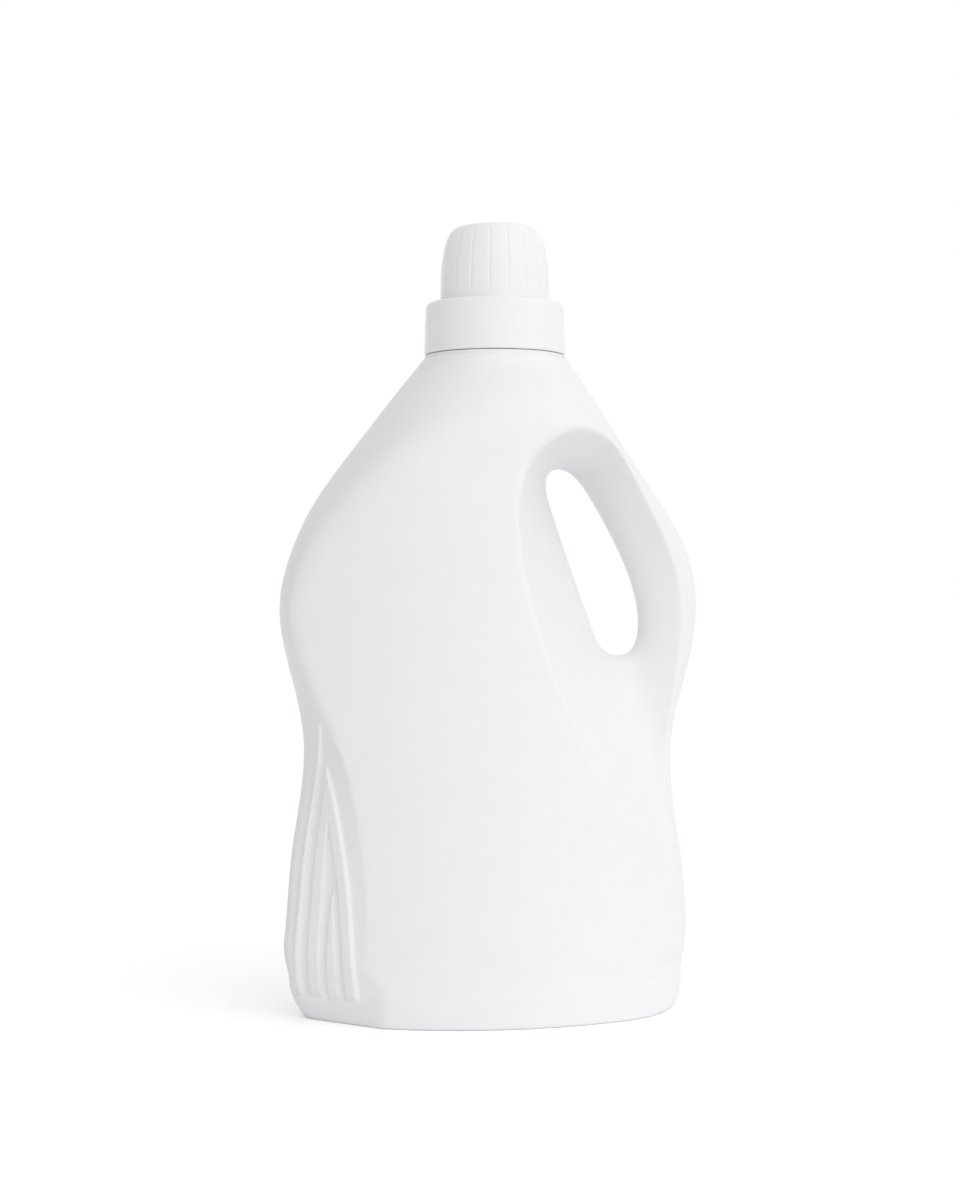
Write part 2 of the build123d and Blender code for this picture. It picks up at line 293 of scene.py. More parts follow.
# %% Remesh the skin
SKIN_NET = 0.5 * MM
SKIN_TRIANGLES = 150000
skin_mesh = bpy.data.meshes.new("jug_skin")
outside.to_mesh(skin_mesh)
outside.free()
jug = new_piece("jug_shell", skin_mesh)
net = jug.modifiers.new("even net", "REMESH")
net.mode = "VOXEL"
net.voxel_size = SKIN_NET
settled(jug)
print("skin points:", len(jug.data.vertices))


# %% Relax the skin
def ramp(value, low, high):
    """0 below low, 1 above high, smooth between."""
    share = np.clip((value - low) / (high - low), 0, 1)
    return share * share * (3 - 2 * share)


def relaxed(points, links, share, times):
    """Move points towards the middle of their neighbours, each by its own share, a number of times."""
    used = share > 0.001
    links = links[used[links[:, 0]] | used[links[:, 1]]]
    ends, others = np.concatenate([links, links[:, ::-1]]).T
    beside = np.maximum(np.bincount(ends, minlength=len(points)), 1)
    for _ in range(times):
        for axis in points.T:
            middle = np.bincount(ends, axis[others], len(points)) / beside
            axis[used] += (share * (middle - axis))[used]
    return points


def between(value, rise, fall):
    """1 between two limits, each a pair that it rises or falls over."""
    return ramp(value, *rise) * (1 - ramp(value, *fall))


PULL, LEAST = 0.5, 0.08     # how far a point moves each time, and how much of that the ribs and the band get
points = np.empty(len(jug.data.vertices) * 3)
jug.data.vertices.foreach_get("co", points)
points = points.reshape(-1, 3) / MM
links = np.empty(len(jug.data.edges) * 2, int)
jug.data.edges.foreach_get("vertices", links)
links = links.reshape(-1, 2)
x, y, z = points.T.copy()
off_ribs = np.maximum(ramp(x, -52, -40), ramp(z, 122, 150))
free = np.minimum(off_ribs, ramp(z, 20, 34))
below_neck = 1 - ramp(z, 250, 254)
scoop_top = between(x, (-8, 6), (26, 44)) * between(z, (190, 208), (226, 240))
nose_foot = (1 - ramp(x, -76, -68)) * between(z, (6, 11), (22, 30))
standing_edge = 1 - ramp(z, 1.2, 3.0)
points = relaxed(points, links, PULL * below_neck * (LEAST + (1 - LEAST) * free), 32)
points = relaxed(points, links, PULL * scoop_top, 110)
points = relaxed(points, links, PULL * nose_foot, 70)
points = relaxed(points, links, PULL * standing_edge, 14)
points = relaxed(points, links, np.full(len(points), 0.4), 2)
print("relaxed points:", len(points))

# %% Draw out the seat under the cap
# The seat is drawn out and up, so that only a thin slit shows under the skirt.
SEAT_OUT, SEAT_UP = 0.6, 0.3
out = points[:, :2] - (NECK_X / MM, 0.0)
radius = np.hypot(*out.T)
seat = between(points[:, 2], (255.5, 255.8), (256.8, 257.2)) * ramp(radius, 25.6, 26.4)
points[:, :2] += out * (SEAT_OUT * seat / np.maximum(radius, 1.0))[:, None]
points[:, 2] += SEAT_UP * seat
print("seat points:", int((seat > 0.5).sum()))


# %% [markdown]
# ## Crisp nose flanks
# The flanks carry the only small relief: pointed leaves, one inside the other, beside the crease where
# flank and panel meet. A net of half a millimetre blurs both, so they are drawn once more. The points
# themselves tell where the plain flank and the panel lie: seen from above each is a line or a shallow
# curve, fitted row by row. The leaves are then raised over the flank with evenly rounded edges, and the two
# surfaces meet in a tight crease. A place on the flank has three numbers: u along it, w out of it, and z
# up.

# %% Where the leaves stand
RIB_RISE, RIB_EDGE, RIB_FOOT = 1.6, 0.6, 9.0
RIB_BEND = 0.55     # height of the handle that bends a leaf's side, as a share of the leaf's height
TIP_FALL = 0.3      # how far into a leaf each millimetre below its tip leads
EDGE_RIB = 2.6      # width of the single rib on the nose side of the leaves
# Each outline is its tip along the flank and up, then where its left and right sides stand at the foot
LEAF_EDGE = (-38.9, 109.5, -49.2, -20.0)
LEAF_OUTER = (-37.3, 98.0, -45.7, -24.1)
LEAF_MIDDLE = (-36.3, 75.0, -39.8, -29.5)
LEAF_INNER = (-34.1, 51.0, -37.3, -31.8)


def leaf_side(z, tip, tip_z, foot):
    """Where a leaf's side stands along the flank: upright at its foot, then leaning to its tip."""
    share = np.clip((z - RIB_FOOT) / (tip_z - RIB_FOOT), 0, 1)
    twice = 2 * RIB_BEND
    t = (twice - np.sqrt(twice * twice - 4 * (twice - 1) * share)) / (2 * (twice - 1))
    return foot + t * t * (tip - foot)


def into_leaf(u, z, tip, tip_z, left, right):
    """Distance into a leaf, negative outside it."""
    across = np.minimum(u - leaf_side(z, tip, tip_z, left), leaf_side(z, tip, tip_z, right) - u)
    return np.minimum(across, TIP_FALL * (tip_z - z))


def into_ribs(u, z):
    """Distance into the raised part of the pattern, negative outside it."""
    tip, tip_z, left, right = LEAF_EDGE
    rim = into_leaf(u, z, tip, tip_z + 2 * EDGE_RIB, left - EDGE_RIB, right + EDGE_RIB)
    edge = np.minimum(np.minimum(rim, -into_leaf(u, z, *LEAF_EDGE)), tip - u)
    band = np.minimum(into_leaf(u, z, *LEAF_OUTER), -into_leaf(u, z, *LEAF_MIDDLE))
    return np.maximum(np.maximum(edge, band), into_leaf(u, z, *LEAF_INNER))


print("tips in mm:", [leaf[1] for leaf in (LEAF_EDGE, LEAF_OUTER, LEAF_MIDDLE, LEAF_INNER)])


# %% Fit the plain surfaces
ROW = 1.5
ROWS = np.arange(6.0, 114.0, ROW)
FLANK_MIDDLE, PANEL_MIDDLE = -35.0, -50.0
# Points nearer than this to the crease or to a rib's edge are left out of the fits
CREASE_CLEAR, RIB_CLEAR = 3.5, 0.9
ROOT = math.sqrt(2)
# Height and x of the crease, from the foot up
CREASE = [(13, -50.3), (20, -55.5), (62, -57.4), (83, -60.2), (104, -65.6), (118, -71.6)]


def fit_rows(along, out, z, degree):
    """Fit out as a polynomial of along in each row of heights, and even the rows out."""
    fits = []
    for height in ROWS:
        near = np.abs(z - height) < ROW
        fits.append(np.polyfit(along[near], out[near], degree))
    soft = np.array([1, 2, 3, 2, 1]) / 9
    return [np.convolve(np.pad(fit, 2, mode="edge"), soft, "valid") for fit in np.array(fits).T]


def rows_at(fits, along, z):
    """Value of the fitted rows at points between them."""
    value = np.zeros_like(along)
    for fit in fits:
        value = value * along + np.interp(z, ROWS, fit)
    return value


nose_side = np.flatnonzero((points[:, 0] < -25) & (points[:, 2] < 120) & (points[:, 2] > 4))
x, y, z = points[nose_side].T.copy()
side, depth = np.sign(y), np.abs(y)
crease = np.interp(z, *zip(*CREASE))
u, w = (x + depth) / ROOT, (depth - x) / ROOT
rib = into_ribs(u, z)
plain = (u > -43) & (x < crease - CREASE_CLEAR) & (np.abs(rib) > RIB_CLEAR) & (w > 10)
flank = fit_rows(u[plain] - FLANK_MIDDLE, w[plain] - RIB_RISE * (rib[plain] > 0), z[plain], 1)
front = (x > crease + CREASE_CLEAR) & (x < crease + 26) & (depth > 12)
panel = fit_rows(x[front] - PANEL_MIDDLE, depth[front], z[front], 2)
print("flank points:", int(plain.sum()), "panel points:", int(front.sum()))

# %% Raise the leaves
base = rows_at(flank, u - FLANK_MIDDLE, z)
raised = RIB_RISE * ramp(rib, -RIB_EDGE, RIB_EDGE) * ramp(z, RIB_FOOT, RIB_FOOT + 2)
below_tip = 1 - ramp(z, 102, 113)
at_crease = ramp(x, crease - 6, crease - 3)
off_nose = np.where(u < -38, ramp(w - base, -0.9, -0.25), 1)
lift = off_nose * (1 - at_crease) * below_tip * ramp(z, RIB_FOOT - 1, RIB_FOOT + 2) * (base + raised - w)
x, depth = x - lift / ROOT, depth + lift / ROOT
print("largest lift in mm:", round(float(np.abs(lift).max()), 2))

# %% Draw the crease
CREASE_ROUND = 0.5
slope = np.interp(z, ROWS, flank[0])
level = np.interp(z, ROWS, flank[1]) - FLANK_MIDDLE * slope
flank_depth = (x * (1 + slope) + ROOT * level) / (1 - slope)
panel_depth = rows_at(panel, x - PANEL_MIDDLE, z)
meet = (flank_depth + panel_depth - np.hypot(flank_depth - panel_depth, CREASE_ROUND)) / 2
at_crease = ramp(x, crease - 6, crease - 3)
near_crease = at_crease * (1 - ramp(x, crease + 5, crease + 9)) * ramp(z, 20, 26) * below_tip
depth += near_crease * (depth > 8) * (meet - depth)
points[nose_side] = np.stack([x, side * depth, z], axis=1)
ribbed = np.zeros(len(points))
ribbed[nose_side] = 0.4 * (1 - at_crease)
points = relaxed(points, links, ribbed, 2)
print("points on the crease:", int((near_crease > 0.5).sum()))

# %% Thin out the skin
jug.data.vertices.foreach_set("co", (points * MM).ravel())
thin = jug.modifiers.new("thin out", "DECIMATE")
thin.ratio = min(1.0, SKIN_TRIANGLES / (2 * len(points)))
settled(jug)
print("triangles after thinning:", count_triangles(jug))

# %% Join the skin and the inside
PLUG_R, PLUG_SKIN = 22.2 * MM, 0.4 * MM


def on_plug(v):
    """Whether a point lies on the lid that closed the neck."""
    return v.co.z > NECK_TOP - PLUG_SKIN and math.hypot(v.co.x - NECK_X, v.co.y) < PLUG_R


def joined_shell(skin, rest):
    """The skin with its neck opened again, and the rim and the inside walls added."""
    bm = bmesh.new()
    bm.from_mesh(skin.data)
    plug = [face for face in bm.faces if all(on_plug(v) for v in face.verts)]
    bmesh.ops.delete(bm, geom=plug, context="FACES")
    walls = bpy.data.meshes.new("inside_walls")
    rest.to_mesh(walls)
    rest.free()
    bm.from_mesh(walls)
    bm.to_mesh(skin.data)
    bm.free()
    bpy.data.meshes.remove(walls)


joined_shell(jug, inside)
jug.data.materials.clear()
jug.data.materials.append(satin_bottle)
for face in jug.data.polygons:
    face.use_smooth = True
print("jug triangles:", count_triangles(jug))

# %% [markdown]
# ## The dosing cap
# The cap is one turned form, but its cup is divided by shallow flutes, with a slightly flattened land
# between them. Turning the whole profile would lose the flutes, so the lesson draws one slice of the cap,
# from the middle of one flute to the next, and lets Geometry Nodes repeat it round the axis.

# %% The cap's profile
SKIRT_R, SKIRT_TOP_R, SKIRT_BORE_R = 27.8, 27.3, 25.0
SKIRT_LOW, SKIRT_TOP, SKIRT_ROUND = 257.0, 277.4, 2.2
SKIRT_LIP = 0.5
CUP_R, COVE, WALL, WEB_LOW = 21.5, 1.0, 1.6, 275.9
CROWN_FROM, CROWN_RISE = 290.0, 19.1    # the inside is lowered too from this height, fully after this rise
CORNER = 0.3
CUP_LINE = [(21.5, 278.4), (21.2, 290.0), (20.4, 296.3), (18.9, 302.6),
            (16.4, 306.3), (12.5, 307.6), (6.0, 308.0), (0.0, 308.1)]
FLUTE_LOW, FLUTE_TOP = 279.5, 307.0


def smooth_line(points, per_span):
    """A Catmull-Rom line through the points, with chord-length knots."""
    pts = np.array(points, float)
    pts = np.vstack([2 * pts[0] - pts[1], pts, [-pts[-2][0], pts[-2][1]]])
    knots = np.concatenate([[0], np.cumsum(np.sqrt(np.linalg.norm(np.diff(pts, axis=0), axis=1)))])
    line = []
    for i in range(1, len(pts) - 2):
        t0, t1, t2, t3 = knots[i - 1:i + 3]
        for t in np.linspace(t1, t2, per_span, endpoint=False):
            a1 = (t1 - t) / (t1 - t0) * pts[i - 1] + (t - t0) / (t1 - t0) * pts[i]
            a2 = (t2 - t) / (t2 - t1) * pts[i] + (t - t1) / (t2 - t1) * pts[i + 1]
            a3 = (t3 - t) / (t3 - t2) * pts[i + 1] + (t - t2) / (t3 - t2) * pts[i + 2]
            b1 = (t2 - t) / (t2 - t0) * a1 + (t - t0) / (t2 - t0) * a2
            b2 = (t3 - t) / (t3 - t1) * a2 + (t - t1) / (t3 - t1) * a3
            line.append((t2 - t) / (t2 - t1) * b1 + (t - t1) / (t2 - t1) * b2)
    line.append(pts[-2])
    return [tuple(p) for p in line]


def arc(centre, radius, start, end, steps):
    """Points on an arc, by degrees."""
    angles = np.radians(np.linspace(start, end, steps))
    return [(centre[0] + radius * math.cos(a), centre[1] + radius * math.sin(a)) for a in angles]


cup = smooth_line(CUP_LINE, 8)
cup_inner = [(max(r - WALL, 0.0), h - WALL * max(0.0, (h - CROWN_FROM) / CROWN_RISE)) for r, h in cup]
lip_top = SKIRT_LOW + SKIRT_LIP
taper, skirt_rise = SKIRT_TOP_R - SKIRT_R, SKIRT_TOP - SKIRT_ROUND - lip_top
skirt = [(SKIRT_BORE_R + 0.4, SKIRT_LOW)] + arc((SKIRT_R - SKIRT_LIP, lip_top), SKIRT_LIP, -90, 0, 4)
skirt += [(SKIRT_R + taper * s, lip_top + skirt_rise * s) for s in (0.03, 0.3, 0.6, 0.97)]
skirt += arc((SKIRT_TOP_R - SKIRT_ROUND, SKIRT_TOP - SKIRT_ROUND), SKIRT_ROUND, 0, 90, 8)
skirt += arc((CUP_R + COVE, SKIRT_TOP + COVE), COVE, 270, 180, 6)[:-1]
under = [(CUP_R - WALL, WEB_LOW + CORNER), (CUP_R - WALL + CORNER, WEB_LOW), (SKIRT_BORE_R - CORNER, WEB_LOW)]
under += [(SKIRT_BORE_R, WEB_LOW - CORNER), (SKIRT_BORE_R, SKIRT_LOW + 0.4)]
profile = skirt + cup + cup_inner[::-1] + under
print("cap profile points:", len(profile))

# %% One slice of the cap
FLUTES, SLICE_STEPS = 18, 14
FLUTE_DEPTH, FLUTE_HALF = 0.28, 0.45
CROWD = 0.6     # below 1, so the steps crowd towards the flutes


def flute_share(height):
    """How much of the flutes there is at a height of the cup."""
    start = ramp(np.array(height), FLUTE_LOW, FLUTE_LOW + 1.5)
    return float(start * (1 - ramp(np.array(height), FLUTE_TOP - 4, FLUTE_TOP)))


def slice_mesh():
    """The cap from the middle of one flute to the middle of the next, about the origin's Z axis."""
    half = math.pi / FLUTES
    spread = np.linspace(-1, 1, SLICE_STEPS + 1)
    angles = half * np.sign(spread) * np.abs(spread) ** CROWD
    outer = len(skirt) + len(cup)
    corners, faces = [], []
    for i, (r, h) in enumerate(profile):
        share = flute_share(h) if len(skirt) <= i < outer else 0.0
        for a in angles:
            gap = (half - abs(a)) * r / FLUTE_HALF
            groove = FLUTE_DEPTH * max(0.0, 1 - gap * gap) if r > 1 else 0.0
            reach = (r - share * groove) * MM
            corners.append((reach * math.cos(a), reach * math.sin(a), h * MM))
    across = len(angles)
    for i in range(len(profile)):
        j = (i + 1) % len(profile)
        for k in range(across - 1):
            faces.append((i * across + k, i * across + k + 1, j * across + k + 1, j * across + k))
    mesh = bpy.data.meshes.new("cap_slice")
    mesh.from_pydata(corners, [], faces)
    return mesh


cap = new_piece("cap_shell", slice_mesh())
print("slice faces:", len(cap.data.polygons))


# %% [markdown]
# ## Repeating the slice
# A small Geometry Nodes tree places a number of copies at one point, turns each by its share of a full
# turn, makes them real, moves them to the neck's axis and welds the joins. Its count, axis and material are
# inputs.

# %% The tree that repeats a slice
def tree_inputs(tree, wanted):
    """Named inputs of a geometry tree, by label, kind and default."""
    tree.interface.new_socket("Geometry", in_out="INPUT", socket_type="NodeSocketGeometry")
    made = {}
    for label, kind, default in wanted:
        made[label] = tree.interface.new_socket(label, in_out="INPUT", socket_type=kind)
        if default is not None:
            made[label].default_value = default
    tree.interface.new_socket("Geometry", in_out="OUTPUT", socket_type="NodeSocketGeometry")
    return made


def build_repeat_tree():
    tree = bpy.data.node_groups.new("repeat_round_axis", "GeometryNodeTree")
    made = tree_inputs(tree, [("Count", "NodeSocketInt", FLUTES), ("Axis at", "NodeSocketVector", None),
                              ("Finish", "NodeSocketMaterial", None)])
    given = add_node(tree, "NodeGroupInput", (-900, 0))
    out = add_node(tree, "NodeGroupOutput", (900, 0))
    dots = add_node(tree, "GeometryNodePoints", (-650, 200))
    index = add_node(tree, "GeometryNodeInputIndex", (-900, -250))
    turn = add_node(tree, "ShaderNodeMath", (-650, -250), operation="DIVIDE")
    whole = add_node(tree, "ShaderNodeMath", (-450, -250), operation="MULTIPLY")
    whole.inputs[1].default_value = 2 * math.pi
    spin = add_node(tree, "ShaderNodeCombineXYZ", (-250, -250))
    copies = add_node(tree, "GeometryNodeInstanceOnPoints", (-50, 100))
    real = add_node(tree, "GeometryNodeRealizeInstances", (150, 100))
    shift = add_node(tree, "GeometryNodeTransform", (330, 100))
    weld = add_node(tree, "GeometryNodeMergeByDistance", (510, 100))
    weld.inputs["Distance"].default_value = 1e-6
    paint = add_node(tree, "GeometryNodeSetMaterial", (700, 100))
    wire(tree, given.outputs["Count"], dots.inputs["Count"])
    wire(tree, index.outputs["Index"], turn.inputs[0])
    wire(tree, given.outputs["Count"], turn.inputs[1])
    wire(tree, turn.outputs["Value"], whole.inputs[0])
    wire(tree, whole.outputs["Value"], spin.inputs["Z"])
    wire(tree, dots.outputs["Points"], copies.inputs["Points"])
    wire(tree, given.outputs["Geometry"], copies.inputs["Instance"])
    wire(tree, spin.outputs["Vector"], copies.inputs["Rotation"])
    wire(tree, copies.outputs["Instances"], real.inputs["Geometry"])
    wire(tree, real.outputs["Geometry"], shift.inputs["Geometry"])
    wire(tree, given.outputs["Axis at"], shift.inputs["Translation"])
    wire(tree, shift.outputs["Geometry"], weld.inputs["Geometry"])
    wire(tree, weld.outputs["Geometry"], paint.inputs["Geometry"])
    wire(tree, given.outputs["Finish"], paint.inputs["Material"])
    wire(tree, paint.outputs["Geometry"], out.inputs["Geometry"])
    return tree, made


repeat_tree, repeat_inputs = build_repeat_tree()
print("tree", repeat_tree.name, "with", len(repeat_tree.nodes), "nodes")


# %% Turn the slice into the cap
def grow(piece, tree, sockets, values):
    """Run a geometry tree on a piece and keep the result as its plain mesh."""
    modifier = piece.modifiers.new(tree.name, "NODES")
    modifier.node_group = tree
    for label, value in values.items():
        modifier[sockets[label].identifier] = value
    return settled(piece)


def tidy_faces(piece, smooth_angle):
    """Point the faces outwards and shade them smooth up to an angle."""
    bm = bmesh.new()
    bm.from_mesh(piece.data)
    bmesh.ops.remove_doubles(bm, verts=bm.verts, dist=NEAR)
    bmesh.ops.dissolve_degenerate(bm, edges=bm.edges, dist=1e-7)
    bmesh.ops.recalc_face_normals(bm, faces=bm.faces)
    limit = math.radians(smooth_angle)
    for edge in bm.edges:
        edge.smooth = len(edge.link_faces) != 2 or edge.calc_face_angle(0.0) < limit
    for face in bm.faces:
        face.smooth = True
    bm.to_mesh(piece.data)
    bm.free()


grow(cap, repeat_tree, repeat_inputs, {"Count": FLUTES, "Axis at": (NECK_X, 0.0, 0.0), "Finish": glossy_cap})
tidy_faces(cap, 50)
print("cap triangles:", count_triangles(cap))

# %% [markdown]
# ## The threads
# The neck carries a screw thread, and the skirt has a matching one inside. Both are hidden until the cap is
# turned up. A thread is a bead that follows a helix and fades out at its ends, so the tree makes a spiral
# curve, sets its radius along its length and sweeps a small ring along it.

# %% The tree that makes a thread
def build_thread_tree():
    tree = bpy.data.node_groups.new("screw_thread", "GeometryNodeTree")
    made = tree_inputs(tree, [("Radius", "NodeSocketFloat", 0.0226), ("Pitch", "NodeSocketFloat", 0.005),
                              ("Turns", "NodeSocketFloat", 1.5), ("Bead", "NodeSocketFloat", 0.001),
                              ("Foot", "NodeSocketVector", None), ("Finish", "NodeSocketMaterial", None)])
    given = add_node(tree, "NodeGroupInput", (-1100, 0))
    out = add_node(tree, "NodeGroupOutput", (900, 0))
    rise = add_node(tree, "ShaderNodeMath", (-850, -200), operation="MULTIPLY")
    helix = add_node(tree, "GeometryNodeCurveSpiral", (-650, 100))
    helix.inputs["Resolution"].default_value = 64
    along = add_node(tree, "GeometryNodeSplineParameter", (-850, -450))
    ends = add_node(tree, "ShaderNodeMath", (-650, -450), operation="PINGPONG")
    ends.inputs[1].default_value = 0.5
    fade = add_node(tree, "ShaderNodeMapRange", (-450, -450), interpolation_type="SMOOTHSTEP")
    fade.inputs["From Max"].default_value = 0.06
    fade.inputs["To Min"].default_value = 0.15
    swell = add_node(tree, "GeometryNodeSetCurveRadius", (-250, 100))
    ring = add_node(tree, "GeometryNodeCurvePrimitiveCircle", (-250, -250))
    ring.inputs["Resolution"].default_value = 10
    sweep = add_node(tree, "GeometryNodeCurveToMesh", (0, 100))
    sweep.inputs["Fill Caps"].default_value = True
    shift = add_node(tree, "GeometryNodeTransform", (200, 100))
    real = add_node(tree, "GeometryNodeRealizeInstances", (400, 100))
    paint = add_node(tree, "GeometryNodeSetMaterial", (600, 100))
    wire(tree, given.outputs["Pitch"], rise.inputs[0])
    wire(tree, given.outputs["Turns"], rise.inputs[1])
    wire(tree, given.outputs["Turns"], helix.inputs["Rotations"])
    wire(tree, given.outputs["Radius"], helix.inputs["Start Radius"])
    wire(tree, given.outputs["Radius"], helix.inputs["End Radius"])
    wire(tree, rise.outputs["Value"], helix.inputs["Height"])
    wire(tree, helix.outputs["Curve"], swell.inputs["Curve"])
    wire(tree, along.outputs["Factor"], ends.inputs[0])
    wire(tree, ends.outputs["Value"], fade.inputs["Value"])
    wire(tree, fade.outputs["Result"], swell.inputs["Radius"])
    wire(tree, given.outputs["Bead"], ring.inputs["Radius"])
    wire(tree, swell.outputs["Curve"], sweep.inputs["Curve"])
    wire(tree, ring.outputs["Curve"], sweep.inputs["Profile Curve"])
    wire(tree, sweep.outputs["Mesh"], shift.inputs["Geometry"])
    wire(tree, given.outputs["Foot"], shift.inputs["Translation"])
    wire(tree, shift.outputs["Geometry"], real.inputs["Geometry"])
    wire(tree, real.outputs["Geometry"], paint.inputs["Geometry"])
    wire(tree, given.outputs["Finish"], paint.inputs["Material"])
    wire(tree, paint.outputs["Geometry"], out.inputs["Geometry"])
    return tree, made


PITCH, TURNS = 5.0 * MM, 1.75
thread_tree, thread_inputs = build_thread_tree()
neck_thread = new_piece("neck_thread", bpy.data.meshes.new("neck_thread"))
grow(neck_thread, thread_tree, thread_inputs, {
    "Radius": 22.5 * MM, "Pitch": PITCH, "Turns": TURNS, "Bead": 1.0 * MM,
    "Foot": (NECK_X, 0.0, 261.0 * MM), "Finish": satin_bottle})
cap_thread = new_piece("cap_thread", bpy.data.meshes.new("cap_thread"))
grow(cap_thread, thread_tree, thread_inputs, {
    "Radius": 25.1 * MM, "Pitch": PITCH, "Turns": TURNS, "Bead": 0.8 * MM,
    "Foot": (NECK_X, 0.0, 260.0 * MM), "Finish": glossy_cap})
for piece in (neck_thread, cap_thread):
    tidy_faces(piece, 60)
print("thread triangles:", count_triangles(neck_thread), count_triangles(cap_thread))

# %% [markdown]
# ## The insert and the gasket
# Both sit under the cap. Their solids have the right shape, so merged copies of them only get smooth
# shading on their round walls, a small bevel on their rims, and their finishes.

# %% Insert and gasket
def dressed(node, name, finish, rim):
    piece = new_piece(name, merged_copy(node))
    tidy_faces(piece, 35)
    piece.data.materials.clear()
    piece.data.materials.append(finish)
    edge = piece.modifiers.new("rims", "BEVEL")
    edge.width = rim
    edge.segments = 2
    edge.limit_method = "ANGLE"
    edge.angle_limit = math.radians(50)
    settled(piece)
    tidy_faces(piece, 40)
    return piece


insert = dressed("pour_spout", "insert_shell", satin_insert, 0.2 * MM)
gasket = dressed("cap_seal", "gasket_ring", foam_gasket, 0.15 * MM)
print("insert and gasket triangles:", count_triangles(insert), count_triangles(gasket))

# %% [markdown]
# ## What moves with what
# The bottle, its insert and its thread stay; the cap turns and lifts with its own thread and the gasket
# ring lifts under it. Each piece is tied to the body it rides on, and the solid that it stands for is hidden.

# %% Tie the pieces to the bodies
for piece, body, node, slot in (
    (jug, "jug", "bottle", "bottle"),
    (insert, "jug", "pour_spout", "spout"),
    (gasket, "seal", "cap_seal", "seal"),
    (cap, "cap", "dosing_cap", "cap"),
):
    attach(piece, body)
    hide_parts(node)
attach(neck_thread, "jug")
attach(cap_thread, "cap")

# %% [markdown]
# ## Floor and light
# The jug stands on a white sweep in front of a white wall. White on white only reads by its shading, so the
# light is uneven on purpose: the largest share comes from the front right, and the rest from beside the
# camera, from the wall behind and from straight above. No light stands far to the left, so the nose flank
# and the left shoulder fall into shade. The lights are lobes of the world: each is the cosine to its own
# direction, raised to a power. A low power is as soft as a big cloth box close to the jug, and a higher one
# is narrower. What the camera and the reflections see behind the jug is plain white.

# %% Directions seen from the camera
YAW = math.radians(14.0)
ALONG = Vector((math.sin(YAW), math.cos(YAW), 0.0))
RIGHT = Vector((math.cos(YAW), -math.sin(YAW), 0.0))


def from_camera(azimuth, elevation):
    """A direction by degrees: azimuth 0 is towards the camera and 90 to its right."""
    turn, rise = math.radians(azimuth), math.radians(elevation)
    level = RIGHT * math.sin(turn) - ALONG * math.cos(turn)
    return level * math.cos(rise) + Vector((0, 0, math.sin(rise)))


# Direction, strength and narrowness of each soft light
SOFT_LIGHTS = [
    (from_camera(-12, 0), 0.98, 2),
    (from_camera(45, 15), 0.80, 4),
    (from_camera(60, 25), 0.57, 2),
    (from_camera(90, 15), 0.29, 4),
    (from_camera(180, 25), 0.71, 2),
    (from_camera(0, 90), 0.59, 2),
]
print("soft lights:", len(SOFT_LIGHTS))


# %% What is seen rather than lit
def seen_directly(tree):
    """A socket that is 1 for camera, glossy and transmission rays, and 0 for light on the jug."""
    path = add_node(tree, "ShaderNodeLightPath", (-700, 500))
    first = add_node(tree, "ShaderNodeMath", (-450, 500), operation="MAXIMUM")
    both = add_node(tree, "ShaderNodeMath", (-250, 500), operation="MAXIMUM")
    wire(tree, path.outputs["Is Camera Ray"], first.inputs[0])
    wire(tree, path.outputs["Is Glossy Ray"], first.inputs[1])
    wire(tree, first.outputs["Value"], both.inputs[0])
    wire(tree, path.outputs["Is Transmission Ray"], both.inputs[1])
    return both.outputs["Value"]


print("ray switch ready")


# %% Floor
def build_floor():
    bpy.ops.mesh.primitive_grid_add(x_subdivisions=8, y_subdivisions=8, size=24)
    sweep = bpy.context.object
    sweep.name = "white_sweep"
    finish = bpy.data.materials.new("white_sweep")
    finish.use_nodes = True
    tree = finish.node_tree
    shader = tree.nodes["Principled BSDF"]
    shader.inputs["Roughness"].default_value = 0.9
    shader.inputs["Specular IOR Level"].default_value = 0.1
    place = add_node(tree, "ShaderNodeTexCoord", (-900, 0))
    speck = add_node(tree, "ShaderNodeTexNoise", (-700, 0))
    speck.inputs["Scale"].default_value = 40.0
    tone = add_node(tree, "ShaderNodeMix", (-400, 0), data_type="RGBA")
    tone.inputs["A"].default_value = (0.94, 0.94, 0.94, 1)
    tone.inputs["B"].default_value = (0.96, 0.96, 0.96, 1)
    wire(tree, place.outputs["Object"], speck.inputs["Vector"])
    wire(tree, speck.outputs["Fac"], tone.inputs["Factor"])
    wire(tree, tone.outputs["Result"], shader.inputs["Base Color"])
    lift = add_node(tree, "ShaderNodeEmission", (0, 300))
    lift.inputs["Strength"].default_value = 0.24
    whitened = add_node(tree, "ShaderNodeAddShader", (250, 300))
    pick = add_node(tree, "ShaderNodeMixShader", (450, 100))
    wire(tree, lift.outputs["Emission"], whitened.inputs[0])
    wire(tree, shader.outputs["BSDF"], whitened.inputs[1])
    wire(tree, seen_directly(tree), pick.inputs["Fac"])
    wire(tree, shader.outputs["BSDF"], pick.inputs[1])
    wire(tree, whitened.outputs["Shader"], pick.inputs[2])
    wire(tree, pick.outputs["Shader"], tree.nodes["Material Output"].inputs["Surface"])
    sweep.data.materials.append(finish)
    return sweep


floor = build_floor()
print("floor:", tuple(round(v, 2) for v in floor.dimensions))


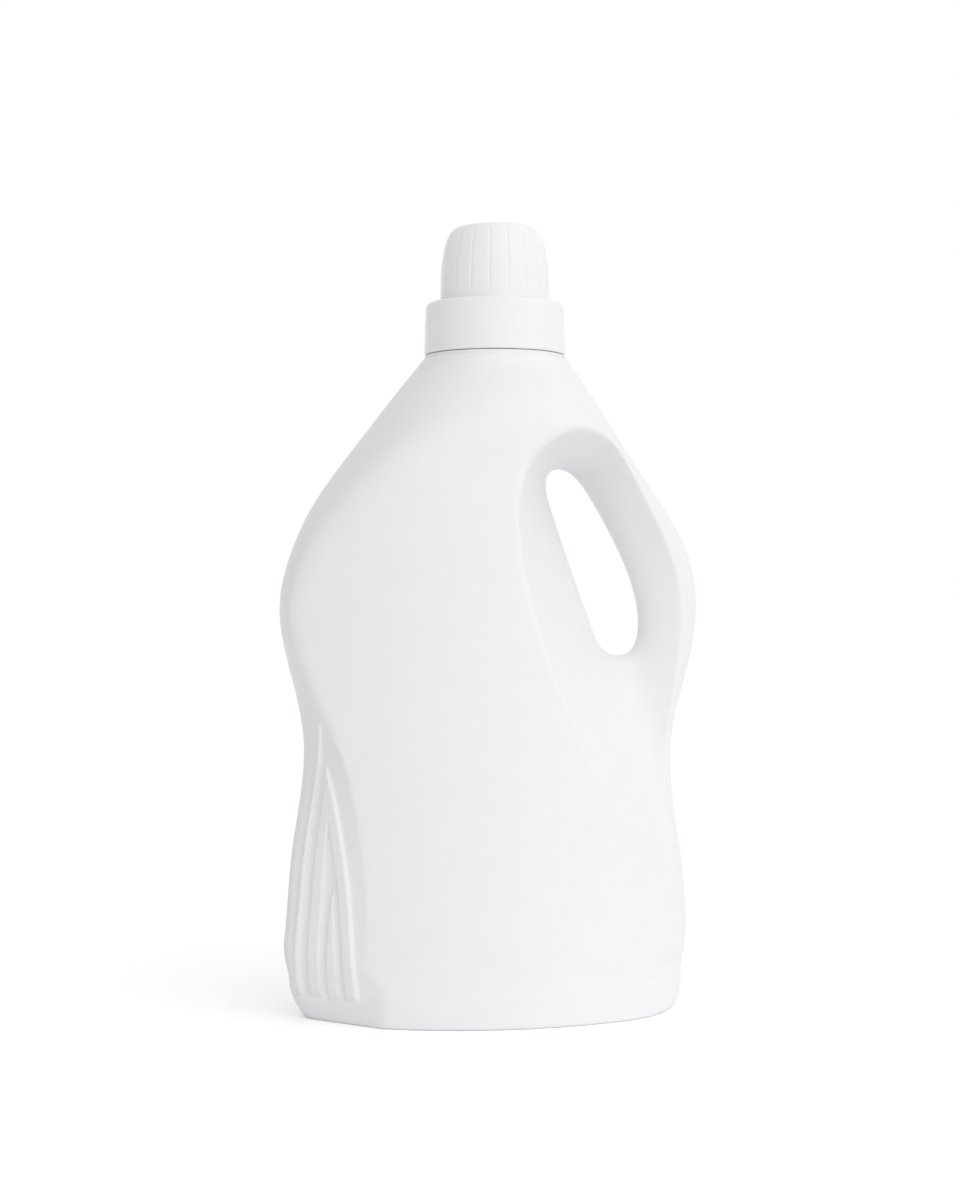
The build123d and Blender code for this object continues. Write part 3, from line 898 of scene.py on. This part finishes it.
# %% World
def build_world():
    world = bpy.data.worlds.new("white_studio")
    scene.world = world
    world.use_nodes = True
    tree = world.node_tree
    tree.nodes.clear()
    out = add_node(tree, "ShaderNodeOutputWorld", (900, 0))
    place = add_node(tree, "ShaderNodeTexCoord", (-900, 0))
    total = None
    for i, (direction, strength, power) in enumerate(SOFT_LIGHTS):
        height = -220 * i
        facing = add_node(tree, "ShaderNodeVectorMath", (-700, height), operation="DOT_PRODUCT")
        facing.inputs[1].default_value = direction
        front = add_node(tree, "ShaderNodeMath", (-500, height), operation="MAXIMUM")
        front.inputs[1].default_value = 0.0
        soft = add_node(tree, "ShaderNodeMath", (-300, height), operation="POWER")
        soft.inputs[1].default_value = power
        share = add_node(tree, "ShaderNodeMath", (-100, height), operation="MULTIPLY_ADD")
        share.inputs[1].default_value = strength
        share.inputs[2].default_value = 0.0
        wire(tree, place.outputs["Generated"], facing.inputs[0])
        wire(tree, facing.outputs["Value"], front.inputs[0])
        wire(tree, front.outputs["Value"], soft.inputs[0])
        wire(tree, soft.outputs["Value"], share.inputs[0])
        if total:
            wire(tree, total, share.inputs[2])
        total = share.outputs["Value"]
    lit = add_node(tree, "ShaderNodeBackground", (300, 0))
    lit.inputs["Color"].default_value = (1, 1, 1, 1)
    plain = add_node(tree, "ShaderNodeBackground", (300, -250))
    plain.inputs["Color"].default_value = (1, 1, 1, 1)
    plain.inputs["Strength"].default_value = 1.0
    pick = add_node(tree, "ShaderNodeMixShader", (600, 0))
    wire(tree, total, lit.inputs["Strength"])
    wire(tree, seen_directly(tree), pick.inputs["Fac"])
    wire(tree, lit.outputs["Background"], pick.inputs[1])
    wire(tree, plain.outputs["Background"], pick.inputs[2])
    wire(tree, pick.outputs["Shader"], out.inputs["Surface"])
    return world


print("world:", build_world().name)

# %% [markdown]
# ## Camera
# The picture was taken level, from a little to the nose side, with a short telephoto lens. The lens, the
# distance and the height were found by matching the jug's outline to the picture, and the camera is set
# there.

# %% Camera
lens = bpy.data.cameras.new("camera")
lens.lens = 66.0
lens.sensor_width = 36.0
camera = bpy.data.objects.new("camera", lens)
scene.collection.objects.link(camera)
DISTANCE, SIDE, HEIGHT = 0.867, 0.00587, 0.1608
camera.location = Vector((NECK_X, 0, HEIGHT)) - ALONG * DISTANCE - RIGHT * SIDE
camera.rotation_mode = "QUATERNION"
camera.rotation_quaternion = ALONG.to_track_quat("-Z", "Y")
scene.camera = camera
scene.view_settings.view_transform = "Standard"
print("camera at", tuple(round(v, 3) for v in camera.location))
